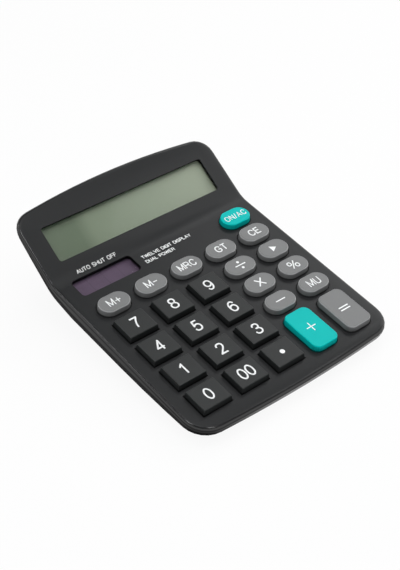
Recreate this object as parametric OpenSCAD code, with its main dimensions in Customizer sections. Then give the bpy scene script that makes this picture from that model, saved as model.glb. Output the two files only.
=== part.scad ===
// Desk calculator: bent thin casing, sprung keys, solar and battery power.
// x runs to the right, y away from the user, z up; the feet stand on z = 0.

/* [Casing] */
// from the outer oval keys to the sides of the casing
key_side = 8.2; // [6:0.1:14]
// slope of the keypad deck, degrees
key_tilt = 7.7; // [0:0.1:15]
// extra slope of the display deck, degrees
disp_tilt = 26.5; // [10:0.5:45]
// keypad origin (centre of the 0 key row) from the middle of the casing
y0 = -56.42; // [-70:0.05:-40]
// height of the deck at the keypad origin
z0 = 11.8; // [9:0.1:20]
// front edge of the deck, from the keypad origin
deck_front = -16.85; // [-25:0.05:-15]
// crease between keypad deck and display deck, from the keypad origin
crease = 94; // [85:0.5:105]
// display deck length behind the crease
disp_len = 41.65; // [38:0.05:60]
// radius of the soft crease
crease_r = 16; // [6:1:30]
// radius of the bowed front edge
front_bow = 750; // [200:10:900]
// radius of the bowed back edge
back_bow = 415; // [150:5:900]
// front corner radius
front_r = 12.5; // [9.5:0.5:14]
// back corner radius
back_r = 9.8; // [9.4:0.1:14]
// rounding of the rim
rim_r = 2.1; // [1:0.1:2.3]
// deck thickness
deck_t = 1.8; // [1.2:0.1:2.5]
// side wall thickness of the upper case
wall_t = 2.2; // [1.5:0.1:3]
// step between upper and lower case at the parting line
part_step = 0.5; // [0.2:0.1:1]
// depth of the flat underside below the deck
belly = 9.4; // [9:0.1:14]
// floor thickness of the lower case
floor_t = 1.6; // [1.2:0.1:2.5]

/* [Keys] */
// column pitch
col_p = 21.4; // [19:0.1:24]
// digit row pitch
row_p = 17.1; // [15:0.1:20]
// key height above the deck
key_h = 3.1; // [2:0.1:5]
// key travel
travel = 1.3; // [0.8:0.1:1.6]
// how far the sides of a key spread down to the deck
key_draft = 0.45; // [0.2:0.05:1]
// gap between a key and the edge of its opening
key_gap = 0.35; // [0.25:0.05:0.6]
// overhang of the retaining flange under the deck
flange_w = 0.55; // [0.4:0.05:1]
// flange thickness
flange_t = 0.8; // [0.5:0.1:1.2]
// gap between flange and deck at rest
flange_gap = 0.1; // [0.05:0.05:0.3]
// digit key top, width
dig_w = 15.1; // [13:0.1:17]
// digit key top, depth
dig_d = 12.9; // [11:0.1:14]
// oval key top, width
oval_w = 16; // [13:0.1:17]
// oval key top, depth
oval_d = 10.3; // [8:0.1:12]
// tall key top, width
tall_w = 14.4; // [12:0.1:17]
// tall key top, depth
tall_d = 23.8; // [20:0.1:26]
// tall key corner radius
tall_r = 3.4; // [2:0.1:5]
// tall key row, from the keypad origin
tall_s = 3.85; // [0:0.05:8]
// first oval key row
oval_s = 24.8; // [22:0.1:28]
// oval row pitch
oval_p = 14.33; // [13:0.01:16]

/* [Display and solar window] */
// from the display opening to the sides of the casing
lcd_side = 10.35; // [8:0.05:20]
// display opening, depth along the slope
lcd_d = 18.9; // [14:0.1:26]
// near edge of the display opening, from the crease
lcd_s = 9; // [6:0.1:14]
// display opening corner radius
lcd_r = 1.5; // [0.3:0.1:3]
// solar opening, width
sun_w = 34; // [26:0.1:40]
// solar opening, depth
sun_d = 11.3; // [8:0.1:14]
// from the solar opening to the left side of the casing
sun_side = 8.5; // [7:0.1:30]
// solar opening centre, from the keypad origin
sun_s = 86; // [83:0.1:90]
// solar opening corner radius
sun_r = 2; // [0.5:0.1:4]
// window thickness
lens_t = 1; // [0.6:0.1:1.5]
// how far a window reaches under the deck around its opening
lens_lap = 1.2; // [1:0.1:2]
// liquid crystal glass thickness
glass_t = 2; // [1.2:0.1:3]
// liquid crystal glass, depth along the slope
glass_d = 24; // [22:0.5:30]
// reflector thickness
refl_t = 0.3; // [0.2:0.1:0.6]
// solar cell thickness
cell_t = 1.1; // [0.7:0.1:2]

/* [Boards] */
// circuit board thickness
pcb_t = 1.2; // [0.8:0.1:1.6]
// from the circuit board to the sides of the casing
pcb_side = 8.7; // [8.5:0.1:12]
// from the front of the deck to the circuit board
pcb_front = 11.85; // [11.5:0.05:14]
// circuit board back edge
pcb_s1 = 90; // [80:0.5:93]
// rubber sheet thickness
sheet_t = 0.6; // [0.4:0.1:1]
// height of the pressed rubber domes
dome_h = 0.5; // [0.3:0.1:1]
// radius of the rubber domes
dome_r = 3; // [2:0.1:4]

/* [Screws and posts] */
// radius of a screw post
post_r = 1.6; // [1.4:0.1:1.7]
// screw shank radius
screw_r = 0.9; // [0.6:0.1:1]
// screw head radius
head_r = 1.7; // [1.4:0.1:2.2]
// screw head height
head_h = 0.8; // [0.5:0.1:1.2]
// from the rear screws to the sides of the casing
rear_side = 5.2; // [5:0.05:5.4]
// rear screw, from the crease
rear_s = 20; // [15:0.5:24]
// seat of the rear posts below the deck
rear_seat = 5.05; // [4.8:0.05:5.4]

/* [Stand and battery] */
// stand half width
stand_x = 36; // [34:0.5:40]
// stand front edge at the bottom, from the keypad origin
stand_y0 = 90; // [86:0.5:94]
// stand back edge at the bottom
stand_y1 = 126; // [122:0.5:127]
// ground clearance of the stand
stand_z = 1.2; // [0.8:0.1:3]
// battery radius
cell_r = 7.1; // [6.9:0.1:7.3]
// battery length without its tip
cell_l = 49.2; // [48:0.1:50]
// battery tip height
tip_h = 1.3; // [1:0.1:1.8]
// battery bay half length
bay_x = 29; // [28:0.1:30]
// battery bay front wall
bay_y = 101; // [100:0.1:103]
// battery bay depth
bay_d = 15.5; // [15:0.1:16]
// battery door thickness
door_t = 1.6; // [1.2:0.1:2]
// battery door half width
door_x = 31; // [30:0.1:32]
// door clearance on every side
door_gap = 0.25; // [0.15:0.05:0.4]
// foot radius
foot_r = 4; // [3:0.1:5]
// from the front feet to the sides of the casing
foot_side = 17; // [13:0.5:29]
// front feet, from the keypad origin
foot_s = 1; // [-2:0.5:10]
// rear feet, across
rfoot_x = 26; // [15:1:30]

/* [Hidden] */
$fn = 48;
e = 0.02;
case_w = 4 * col_p + oval_w + 2 * key_side;
w2 = case_w / 2;
lcd_w = case_w - 2 * lcd_side;
sun_x = sun_side + sun_w / 2 - w2;
pcb_x = w2 - pcb_side;
pcb_s0 = deck_front + pcb_front;
rear_x = w2 - rear_side;
foot_x = w2 - foot_side;
tl = crease_r * tan(disp_tilt / 2);
t1 = crease - tl;
t2 = t1 + crease_r * disp_tilt * PI / 180;
tb = t2 - tl + disp_len;
floor_h = -(belly - floor_t);
flange_top = -deck_t - flange_gap;
flange_bot = flange_top - flange_t;
tip_bot = flange_bot - 0.4;
dome_top = tip_bot - travel - 0.1;
sheet_top = dome_top - dome_h;
pcb_top = sheet_top - sheet_t;
pcb_bot = pcb_top - pcb_t;
lens_z = -deck_t - lens_t;
glass_z = lens_z - glass_t;
glass_s = lcd_s - 4;
hold_s0 = min(lcd_s - lens_lap, glass_s) - 1.5;
hold_s1 = max(lcd_s + lcd_d + lens_lap, glass_s + glass_d) + 1.5;
holder_bot = glass_z - refl_t - 0.9;
bay_top = 18.4;
bed_z = stand_z + door_t + 0.05;
door_y1 = bay_y + bay_d + 1.6;
cell_y = bay_y + bay_d / 2;
cell_z = bed_z + cell_r + 0.15;
tab_z = cell_z + 4;
// depth of the parting line and of the lower edge below the deck, along the deck
part_tab = [[-30, 2.8], [-10, 2.8], [1, 3], [9, 3.3], [25, 3.8], [41, 4.3], [56, 4.5],
    [79, 4.4], [88, 3.6], [t2, 2.7], [t2 + 15, 2.5], [t2 + 30, 2.5], [t2 + 60, 2.5]];
edge_tab = [[-30, 5.1], [-16, 5.1], [-12, 5.4], [-6, 5.7], [1, 6.4], [9, 7.1], [25, 8.1],
    [41, 8.6], [56, 8.8], [79, 8.9], [88, 8.1], [t2, 6.6], [t2 + 15, 5.6], [t2 + 30, 4.2],
    [t2 + 60, 4.2]];
side_ts = [9, 17, 25, 33, 41, 56, 68, 79, t1, t1 + (t2 - t1) / 4, t1 + (t2 - t1) / 2,
    t1 + (t2 - t1) * 3 / 4, t2, t2 + 7, t2 + 15, t2 + 20];
n_side = len(side_ts);
n_arc = 6;
n_cor = 7;
i_t1 = n_arc + n_cor + 8;
i_t2 = i_t1 + 4;
n_half = 2 * n_arc + 2 * n_cor + n_side;
posts_case = [[-1.5 * col_p, 1.5 * row_p], [1.5 * col_p, oval_s + oval_p / 2]];
posts_pcb = [[-0.5 * col_p, 0.5 * row_p], [0.5 * col_p, 0.5 * row_p],
    [-0.5 * col_p, 3.48 * row_p], [0.5 * col_p, 3.48 * row_p]];
// keys: column, row position, kind (0 square, 1 oval, 2 tall)
key_tab = [[-2, 0, 0], [-1, 0, 0], [0, 0, 0], [-2, 1, 0], [-1, 1, 0], [0, 1, 0],
    [-2, 2, 0], [-1, 2, 0], [0, 2, 0], [-2, 3, 0], [-1, 3, 0], [0, 3, 0],
    [1, 0, 1], [1, 1, 1], [1, 2, 1], [2, 0, 1], [2, 1, 1], [2, 2, 1],
    [-2, 3, 1], [-1, 3, 1], [0, 3, 1], [1, 3, 1], [2, 3, 1], [2, 4, 1], [1, 0, 2], [2, 0, 2]];

// ---- the bent deck: t runs along it, h stands out from it ----
function turn(t) = t <= t1 ? key_tilt
    : t <= t2 ? key_tilt + (t - t1) / crease_r * 180 / PI : key_tilt + disp_tilt;
function deck_pt(t) = t <= t1 ? [t * cos(key_tilt), t * sin(key_tilt)]
    : t <= t2 ? deck_pt(t1) + crease_r * [sin(turn(t)) - sin(key_tilt), cos(key_tilt) - cos(turn(t))]
    : deck_pt(t2) + (t - t2) * [cos(turn(t)), sin(turn(t))];
function on_deck(x, t, h) = let (p = deck_pt(t), a = turn(t))
    [x, y0 + p[0] - h * sin(a), z0 + p[1] + h * cos(a)];

// half outline of the casing, front to back, drawn in by d; s moves its side points, so that
// the edges of a hollow don't run into those of the solid round it
function half_line(d, s) = let (w = w2 - d, rf = front_bow - d, rb = back_bow - d,
    cf = front_r - d, cb = back_r - d, yf = deck_front + front_bow, yb = tb - back_bow,
    kf = yf - sqrt((rf - cf) * (rf - cf) - (w - cf) * (w - cf)),
    kb = yb + sqrt((rb - cb) * (rb - cb) - (w - cb) * (w - cb)),
    af = atan2(kf - yf, w - cf), ab = atan2(kb - yb, w - cb))
    concat([for (i = [0:n_arc - 1]) let (a = -90 + (af + 90) * (i + 0.5) / n_arc)
            [rf * cos(a), yf + rf * sin(a)]],
        [for (i = [0:n_cor - 1]) let (a = af - af * i / (n_cor - 1))
            [w - cf + cf * cos(a), kf + cf * sin(a)]],
        [for (t = side_ts) [w, t <= t1 ? t - s : t >= t2 ? t + s : t + s / 3]],
        [for (i = [0:n_cor - 1]) let (a = ab * i / (n_cor - 1))
            [w - cb + cb * cos(a), kb + cb * sin(a)]],
        [for (i = [0:n_arc - 1]) let (a = ab + (90 - ab) * (i + 0.5) / n_arc)
            [rb * cos(a), yb + rb * sin(a)]]);
function ring(d, m, s) = let (o = half_line(d, s))
    [for (k = [0:2 * n_half - 1]) let (q = k < n_half ? o[k] : o[2 * n_half - 1 - k],
        h = -(m[0] * lookup(q[1], part_tab) + m[1] * lookup(q[1], edge_tab) + m[2]))
        on_deck(k < n_half ? q[0] : -q[0], q[1], h)];

// solid between rings, lowest ring first; each ring is [inset, [part, edge, plain depth]]
module skin(rings, flat_top = false, s = 0) {
    n = 2 * n_half;
    m = len(rings);
    pts = [for (r = rings) each ring(r[0], r[1], s)];
    o = (m - 1) * n;
    sides = [for (j = [0:m - 2], i = [0:n - 1]) let (a = j * n + i, b = j * n + (i + 1) % n)
        each [[a, a + n, b + n], [a, b + n, b]]];
    under = [for (i = [0:n_half - 2]) [i, i + 1, n - 2 - i, n - 1 - i]];
    over = !flat_top ? [for (i = [0:n_half - 2]) [o + n - 1 - i, o + n - 2 - i, o + i + 1, o + i]]
        : concat([concat([for (i = [0:i_t1]) o + n - 1 - i], [for (i = [i_t1:-1:0]) o + i])],
            [for (i = [i_t1:i_t2 - 1]) [o + n - 1 - i, o + n - 2 - i, o + i + 1, o + i]],
            [concat([for (i = [i_t2:n_half - 1]) o + n - 1 - i],
                [for (i = [n_half - 1:-1:i_t2]) o + i])]);
    polyhedron(points = pts, faces = concat(sides, under, over), convexity = 4);
}

module keypad() translate([0, y0, z0]) rotate([key_tilt, 0, 0]) children();
module display() keypad() translate([0, crease, 0]) rotate([disp_tilt, 0, 0]) children();

module slab(w, d, r, h0, h1) translate([0, 0, h0]) linear_extrude(h1 - h0) plate(w, d, r);
module plate(w, d, r) {
    square([w - 2 * r, d], center = true);
    square([w, d - 2 * r], center = true);
    for (i = [-1, 1], j = [-1, 1]) translate([i * (w / 2 - r), j * (d / 2 - r)]) circle(r);
}
module oval(w, d, h0, h1) translate([0, 0, h0]) linear_extrude(h1 - h0) {
    square([w - d, d], center = true);
    for (i = [-1, 1]) translate([i * (w - d) / 2, 0]) circle(d / 2);
}
module drum(r, h0, h1) translate([0, 0, h0]) cylinder(r = r, h = h1 - h0);

function key_s(k) = k[2] == 0 ? k[1] * row_p : k[2] == 1 ? oval_s + k[1] * oval_p : tall_s;
module at_key(k) keypad() translate([k[0] * col_p, key_s(k), 0]) children();
// footprint of a key or of its opening, g beyond the key top
module foot_print(k, g, h0, h1) {
    if (k[2] == 0) translate([0, 0, (h0 + h1) / 2])
        cube([dig_w + 2 * g, dig_d + 2 * g, h1 - h0], center = true);
    else if (k[2] == 1) oval(oval_w + 2 * g, oval_d + 2 * g, h0, h1);
    else slab(tall_w + 2 * g, tall_d + 2 * g, tall_r + g, h0, h1);
}

// square frustum between two heights, g0 and g1 beyond the key top
module block(w, d, g0, g1, h0, h1) intersection() {
    rotate([90, 0, 0]) linear_extrude(d + 4, center = true)
        polygon([[-w / 2 - g0, h0], [w / 2 + g0, h0], [w / 2 + g1, h1], [-w / 2 - g1, h1]]);
    rotate([90, 0, 90]) linear_extrude(w + 4, center = true)
        polygon([[-d / 2 - g0, h0], [d / 2 + g0, h0], [d / 2 + g1, h1], [-d / 2 - g1, h1]]);
}
module oval_block(w, d, g0, g1, h0, h1) {
    rotate([90, 0, 90]) linear_extrude(w - d, center = true)
        polygon([[-d / 2 - g0, h0], [d / 2 + g0, h0], [d / 2 + g1, h1], [-d / 2 - g1, h1]]);
    for (i = [-1, 1]) translate([i * (w - d) / 2, 0, 0]) rotate([0, 0, -90 * i])
        rotate_extrude(angle = 180)
            polygon([[0, h0], [d / 2 + g0, h0], [d / 2 + g1, h1], [0, h1]]);
}
module tall_block(g0, g1, h0, h1) hull() for (i = [-1, 1], j = [-1, 1])
    translate([i * (tall_w / 2 - tall_r), j * (tall_d / 2 - tall_r), h0])
        cylinder(r1 = tall_r + g0, r2 = tall_r + g1, h = h1 - h0, $fn = 32);

module cap(k) at_key(k) {
    edge = k[2] == 0 ? 0.25 : 0.5;
    difference() {
        union() {
            if (k[2] == 0) {
                block(dig_w, dig_d, key_draft, 0, 0, key_h - edge);
                block(dig_w, dig_d, 0, -edge, key_h - edge, key_h);
            } else if (k[2] == 1) {
                oval_block(oval_w, oval_d, key_draft, 0, 0, key_h - edge);
                oval_block(oval_w, oval_d, 0, -edge, key_h - edge, key_h);
            } else {
                tall_block(key_draft, 0, 0, key_h - edge);
                tall_block(0, -edge, key_h - edge, key_h);
            }
            foot_print(k, key_draft, flange_top, 0);
            foot_print(k, key_draft + key_gap + flange_w, flange_bot, flange_top);
        }
        foot_print(k, -1.1, flange_bot - 1, key_h - 1.4);
    }
    drum(1.7, tip_bot, key_h - 1);
}

// ---- casing ----
module openings() {
    for (k = key_tab) at_key(k) foot_print(k, key_draft + key_gap, -5, 5);
    keypad() translate([sun_x, sun_s, 0]) slab(sun_w, sun_d, sun_r, -5, 5);
    display() translate([0, lcd_s + lcd_d / 2, 0]) slab(lcd_w, lcd_d, lcd_r, -5, 5);
}
module upper_case() color("#2d2e30") {
    difference() {
        skin(concat([[0, [1, 0, 0]]], [for (i = [0:4]) let (a = i * 22.5)
            [rim_r * (1 - cos(a)), [0, 0, rim_r * (1 - sin(a))]]]), true);
        skin([[wall_t, [1, 0, 3]], [wall_t, [0, 0, deck_t]]], true, 0.4);
        openings();
    }
    keypad() {
        for (p = posts_pcb) translate([p[0], p[1], 0]) difference() {
            drum(post_r, pcb_top, -deck_t + 0.3);
            drum(screw_r, pcb_top - 1, -deck_t - 0.2);
        }
        for (p = posts_case) translate([p[0], p[1], 0]) difference() {
            drum(post_r, floor_h, -deck_t + 0.3);
            drum(screw_r, floor_h - 1, -deck_t - 0.2);
        }
    }
    display() for (i = [-1, 1]) translate([i * rear_x, rear_s, 0]) difference() {
        drum(post_r + 0.4, -rear_seat, -deck_t + 0.3);
        drum(screw_r, -20, -deck_t - 0.2);
    }
}

// side outline of the stand, from the keypad origin: across the table, then up
stand_pts = [[stand_y0, stand_z], [stand_y1, stand_z], [stand_y1 - 1, 35.4],
    [96.6, 16.3], [stand_y0 - 4, 14.7]];
module stand() intersection() {
    translate([0, y0, 0]) rotate([90, 0, 90]) linear_extrude(2 * stand_x, center = true)
        polygon(stand_pts);
    translate([0, y0 + (stand_y0 + stand_y1) / 2 - 2, 0])
        slab(2 * stand_x, stand_y1 - stand_y0 + 8, 4, -1, 60);
}
module box(x0, x1, ya, yb, za, zb) translate([x0, y0 + ya, za]) cube([x1 - x0, yb - ya, zb - za]);
module lower_case() color("#262729") {
    tray();
    // ribs under the display holder
    display() for (i = [-1, 1]) translate([i * (lcd_w / 2 - 6.65) - 0.7, glass_s + 3, floor_h - 0.4])
        cube([1.4, glass_d - 3, holder_bot - floor_h + 0.4]);
}
module tray() difference() {
    union() {
        skin([[8, [0, 0, belly]], [1.1, [0, 1, 0]], [part_step, [0, 1, -0.5]],
            [part_step, [1, 0, 0]]]);
        stand();
    }
    skin([[9.1, [0, 0, belly - floor_t]], [2.6, [0, 1, -1.6]], [2.6, [1, 0, -2.5]]], false, 0.4);
    // battery bay and the hollow rooms round it
    box(-bay_x, bay_x, bay_y, bay_y + bay_d, stand_z - 1, bay_top);
    for (i = [-1, 1]) box(i * 32.4 - 1.8, i * 32.4 + 1.8, 93.5, 122.5, 4.6, 40);
    box(-bay_x, bay_x, 93, bay_y - 1.5, 4.6, 14.5);
    box(-bay_x, bay_x, bay_y + bay_d + 1.5, 123, 4.6, 40);
    box(-bay_x, bay_x, bay_y + 5, bay_y + bay_d + 1, bay_top + 1.6, 40);
    // door bed, its side grooves and the slot behind it
    box(-door_x - door_gap, door_x + door_gap, 80, door_y1 + door_gap, 0, bed_z);
    box(-door_x - 1.5, door_x + 1.5, 80, door_y1 - 2, stand_z + 0.55, bed_z);
    // recesses for the feet
    for (i = [-1, 1]) {
        keypad() translate([i * foot_x, foot_s, 0]) drum(foot_r + 0.1, -20, -belly + 0.8);
        translate([i * rfoot_x, y0 + 121.8, 0]) drum(3.1, -1, stand_z + 0.8);
    }
    // screw holes with sunk heads
    keypad() for (p = posts_case) translate([p[0], p[1], 0]) {
        drum(screw_r + 0.2, -20, 0);
        drum(head_r + 0.2, -20, -belly + head_h + 0.1);
    }
    display() for (i = [-1, 1]) translate([i * rear_x, rear_s, 0]) {
        drum(screw_r + 0.2, -20, 0);
        drum(post_r + 0.6, -rear_seat, 0);
        drum(head_r + 0.2, -20, -rear_seat - 0.75);
    }
    // slots for the contact tabs
    for (i = [-1, 1]) box(i * 30 - 2, i * 30 + 2, cell_y - 1.7, cell_y + 1.7, tab_z - 0.4, tab_z + 0.4);
}

// ---- display and solar cell ----
module display_window() color("#cfd6d2", 0.35) display() translate([0, lcd_s + lcd_d / 2, 0])
    slab(lcd_w + 2 * lens_lap, lcd_d + 2 * lens_lap, 1, lens_z, -deck_t);
module lcd_glass() color("#8d9a86") display() translate([0, glass_s + glass_d / 2, 0])
    slab(lcd_w + 1.4, glass_d, 0.3, glass_z, lens_z);
module lcd_reflector() color("#c9ccc8") display() translate([0, glass_s + glass_d / 2, 0])
    slab(lcd_w, glass_d - 6, 0.3, glass_z - refl_t, glass_z);
module lcd_holder() color("#1d1d1f") display() difference() {
    lens_w = lcd_w + 2 * lens_lap;
    translate([0, (hold_s0 + hold_s1) / 2, 0])
        slab(lens_w + 2.6, hold_s1 - hold_s0, 1.2, holder_bot, -deck_t);
    translate([0, lcd_s + lcd_d / 2, 0])
        slab(lens_w + 0.4, lcd_d + 2 * lens_lap + 0.4, 0.4, lens_z, 1);
    translate([0, glass_s + glass_d / 2, 0]) {
        slab(lens_w + 0.4, glass_d + 0.4, 0.4, glass_z - refl_t, 1);
        slab(lcd_w - 12, glass_d - 12, 1, -20, 1);
        translate([0, -glass_d / 2, 0]) slab(72, 7, 0.5, glass_z - 0.6, 1);
    }
}
// flexible ribbon from the liquid crystal glass down to the circuit board
function disp_yz(s, h) = let (a = disp_tilt) [crease + s * cos(a) - h * sin(a), s * sin(a) + h * cos(a)];
module display_ribbon() color("#c98a3c") keypad() {
    a = disp_yz(glass_s + 2.5, glass_z);
    b = disp_yz(glass_s - 0.6, glass_z);
    n = 0.25;
    rotate([90, 0, 90]) linear_extrude(60, center = true) polygon([a, b, [pcb_s1 - 1, pcb_top + n],
        [pcb_s1 - 4, pcb_top + n], [pcb_s1 - 4, pcb_top], [pcb_s1 - 0.6, pcb_top],
        disp_yz(glass_s - 0.4, glass_z - n), disp_yz(glass_s + 2.5, glass_z - n)]);
}
module solar_window() color("#8b8492", 0.5) keypad() translate([sun_x, sun_s, 0])
    slab(sun_w + 2 * lens_lap, sun_d + 2 * lens_lap, 1, -deck_t - 0.7, -deck_t);
module solar_cell() color("#5d4e62") keypad() translate([sun_x, sun_s, 0])
    slab(sun_w + 2, sun_d + 2, 0.2, -deck_t - 0.7 - cell_t, -deck_t - 0.7);

// ---- boards ----
module pcb_plan() difference() {
    translate([0, (pcb_s0 + pcb_s1) / 2]) plate(2 * pcb_x, pcb_s1 - pcb_s0, 3);
    for (p = posts_case) translate(p) circle(post_r + 0.3);
    for (p = posts_pcb) translate(p) circle(screw_r + 0.2);
}
module circuit_board() color("#7a6a3a") keypad() translate([0, 0, pcb_bot])
    linear_extrude(pcb_t) pcb_plan();
sheet_s1 = key_s([0, 3, 1]) + 6.5;
parts_s = pcb_s1 - 10;
module rubber_sheet() color("#a9aaa6") keypad() {
    translate([0, 0, pcb_top]) linear_extrude(sheet_t) difference() {
        union() {
            translate([-pcb_x + 0.4, pcb_s0 + 0.4]) square([2 * pcb_x - 0.8, sheet_s1 - pcb_s0 - 0.4]);
            translate([2 * col_p - 8.8, sheet_s1 - 1]) square([pcb_x - 2 * col_p + 8.4, 14]);
        }
        for (p = concat(posts_case, posts_pcb)) translate(p) circle(post_r + 0.3);
    }
    for (k = key_tab) translate([k[0] * col_p, key_s(k), 0]) drum(dome_r, sheet_top - 0.1, dome_top);
}
module controller_chip() color("#151515") keypad() translate([6, parts_s, pcb_top]) {
    cylinder(r1 = 5.5, r2 = 4.6, h = 0.6);
    translate([0, 0, 0.6]) cylinder(r1 = 4.6, r2 = 2.5, h = 0.7);
}
module capacitor() color("#2a3550") keypad() translate([22, parts_s, pcb_top]) {
    translate([0, 0, 1.7]) rotate([0, 90, 0]) cylinder(r = 1.5, h = 6, center = true);
    for (i = [-1, 1]) translate([i * 2, 0, 0]) cylinder(r = 0.35, h = 1.2);
}
module screw_up(l) {
    difference() {
        drum(head_r, 0, head_h);
        translate([0, 0, 0.15]) cube([2.2, 0.45, 0.8], center = true);
        translate([0, 0, 0.15]) cube([0.45, 2.2, 0.8], center = true);
    }
    drum(screw_r - 0.05, head_h - 0.1, head_h + l);
}
module pcb_screws() color("#a8a9ab") keypad() for (p = posts_pcb)
    translate([p[0], p[1], pcb_bot - head_h]) screw_up(4);
module case_screws() color("#8f9093") {
    keypad() for (p = posts_case) translate([p[0], p[1], -belly + 0.1]) screw_up(5.5);
    display() for (i = [-1, 1]) translate([i * rear_x, rear_s, -rear_seat - 0.75 - head_h]) screw_up(3.4);
}

// ---- battery ----
module along(x) translate([x, y0 + cell_y, cell_z]) rotate([0, 90, 0]) children();
tip_x = bay_x - 0.4;
module battery_cell() color("#b38b3d") {
    along(tip_x - tip_h - cell_l) cylinder(r = cell_r, h = cell_l);
    along(tip_x - tip_h - 0.1) cylinder(r = 2.6, h = tip_h + 0.1);
}
module tab(i) box(i * 30 - 1.4, i * 30 + 1.4, cell_y - 1.5, cell_y + 1.5, tab_z - 0.2, tab_z + 0.2);
module battery_plate() color("#c7c8ca") {
    tab(1);
    end_plate();
}
module end_plate() difference() {
    along(bay_x - 0.4) translate([0, 0, 0.2]) cube([11, 12, 0.4], center = true);
    along(bay_x - 1) translate([-4, 0, 0]) cylinder(r = 1, h = 2);
}
// conical coil with four turns between the end plate and the cell
spring_x0 = -bay_x + 0.4;
spring_l = tip_x - tip_h - cell_l - spring_x0;
function coil(u) = let (a = u * 360 * 4, r = 4.6 - 1.8 * u)
    [r * cos(a), r * sin(a), 0.3 + u * (spring_l - 0.75)];
module battery_spring() color("#c7c8ca") {
    along(-bay_x) translate([0, 0, 0.2]) cube([11, 12, 0.4], center = true);
    tab(-1);
    n = 64;
    m = 6;
    along(spring_x0) polyhedron(convexity = 6,
        points = [for (i = [0:n]) let (c = coil(i / n), a = i / n * 1440) for (j = [0:m - 1])
            c + 0.42 * [cos(j * 60) * cos(a), cos(j * 60) * sin(a), sin(j * 60)]],
        faces = concat([[for (j = [m - 1:-1:0]) j]], [[for (j = [0:m - 1]) n * m + j]],
            [for (i = [0:n - 1], j = [0:m - 1]) let (a = i * m + j, b = i * m + (j + 1) % m)
                each [[a, b + m, a + m], [a, b, b + m]]]));
}
// round wire through points given from the keypad origin
module wire(pts, r) translate([0, y0, 0]) {
    for (i = [0:len(pts) - 2]) let (v = pts[i + 1] - pts[i], l = norm(v)) translate(pts[i])
        rotate([0, acos(v[2] / l), atan2(v[1], v[0])]) cylinder(r = r, h = l);
    for (i = [1:len(pts) - 2]) translate(pts[i]) sphere(r + 0.03);
}
function lead_pts(i) = [[i * 31.4, cell_y, tab_z + 0.6], [i * 32.4, 98, 15.5], [i * 32.4, 94.6, 17.3],
    [i * 32.4, 91.4, 16.75], [i * 32.4, 87.5, 16.3]];
module battery_lead_red() color("#b3302a") wire(lead_pts(1), 0.35);
module battery_lead_black() color("#1b1b1b") wire(lead_pts(-1), 0.35);
module solar_leads() color("#b3302a") keypad() for (i = [-1, 1])
    translate([sun_x + i * 12, sun_s - 3, 0]) drum(0.35, pcb_top, -deck_t - 0.7 - cell_t);
module battery_door() color("#262729") difference() {
    union() {
        box(-door_x, door_x, stand_y0, door_y1, stand_z, stand_z + door_t);
        box(-door_x - 1.2, door_x + 1.2, stand_y0 + 2, door_y1 - 2.6, stand_z + 0.8, stand_z + door_t - 0.1);
    }
    for (i = [0:4]) box(-9, 9, stand_y0 + 4 + i * 1.8, stand_y0 + 4.9 + i * 1.8, 0, stand_z + 0.5);
}
module rubber_feet() color("#3a3b3d") for (i = [-1, 1]) {
    difference() {
        keypad() translate([i * foot_x, foot_s, 0]) drum(foot_r, -20, -belly + 0.8);
        translate([0, 0, -25]) cube([200, 300, 50], center = true);
    }
    translate([i * rfoot_x, y0 + 121.8, 0]) drum(3, 0, stand_z + 0.8);
}

upper_case();
lower_case();
display_window();
lcd_glass();
lcd_reflector();
lcd_holder();
display_ribbon();
solar_window();
solar_cell();
circuit_board();
rubber_sheet();
controller_chip();
capacitor();
pcb_screws();
case_screws();
battery_cell();
battery_spring();
battery_plate();
battery_door();
rubber_feet();
battery_lead_red();
battery_lead_black();
solar_leads();
color("#313234") cap(key_tab[0]);  // key_0
color("#313234") cap(key_tab[1]);  // key_00
color("#313234") cap(key_tab[2]);  // key_point
color("#313234") cap(key_tab[3]);  // key_1
color("#313234") cap(key_tab[4]);  // key_2
color("#313234") cap(key_tab[5]);  // key_3
color("#313234") cap(key_tab[6]);  // key_4
color("#313234") cap(key_tab[7]);  // key_5
color("#313234") cap(key_tab[8]);  // key_6
color("#313234") cap(key_tab[9]);  // key_7
color("#313234") cap(key_tab[10]);  // key_8
color("#313234") cap(key_tab[11]);  // key_9
color("#8b8b8e") cap(key_tab[12]);  // key_minus
color("#8b8b8e") cap(key_tab[13]);  // key_multiply
color("#8b8b8e") cap(key_tab[14]);  // key_divide
color("#8b8b8e") cap(key_tab[15]);  // key_mark_up
color("#8b8b8e") cap(key_tab[16]);  // key_percent
color("#8b8b8e") cap(key_tab[17]);  // key_backspace
color("#8b8b8e") cap(key_tab[18]);  // key_memory_add
color("#8b8b8e") cap(key_tab[19]);  // key_memory_subtract
color("#8b8b8e") cap(key_tab[20]);  // key_memory_recall
color("#8b8b8e") cap(key_tab[21]);  // key_grand_total
color("#8b8b8e") cap(key_tab[22]);  // key_clear_entry
color("#20c4bd") cap(key_tab[23]);  // key_on_clear
color("#20c4bd") cap(key_tab[24]);  // key_plus
color("#8b8b8e") cap(key_tab[25]);  // key_equals
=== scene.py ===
"""Desk calculator: finishes, legends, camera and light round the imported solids."""

import math

import bmesh
import bpy
from mathutils import Matrix, Vector


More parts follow.
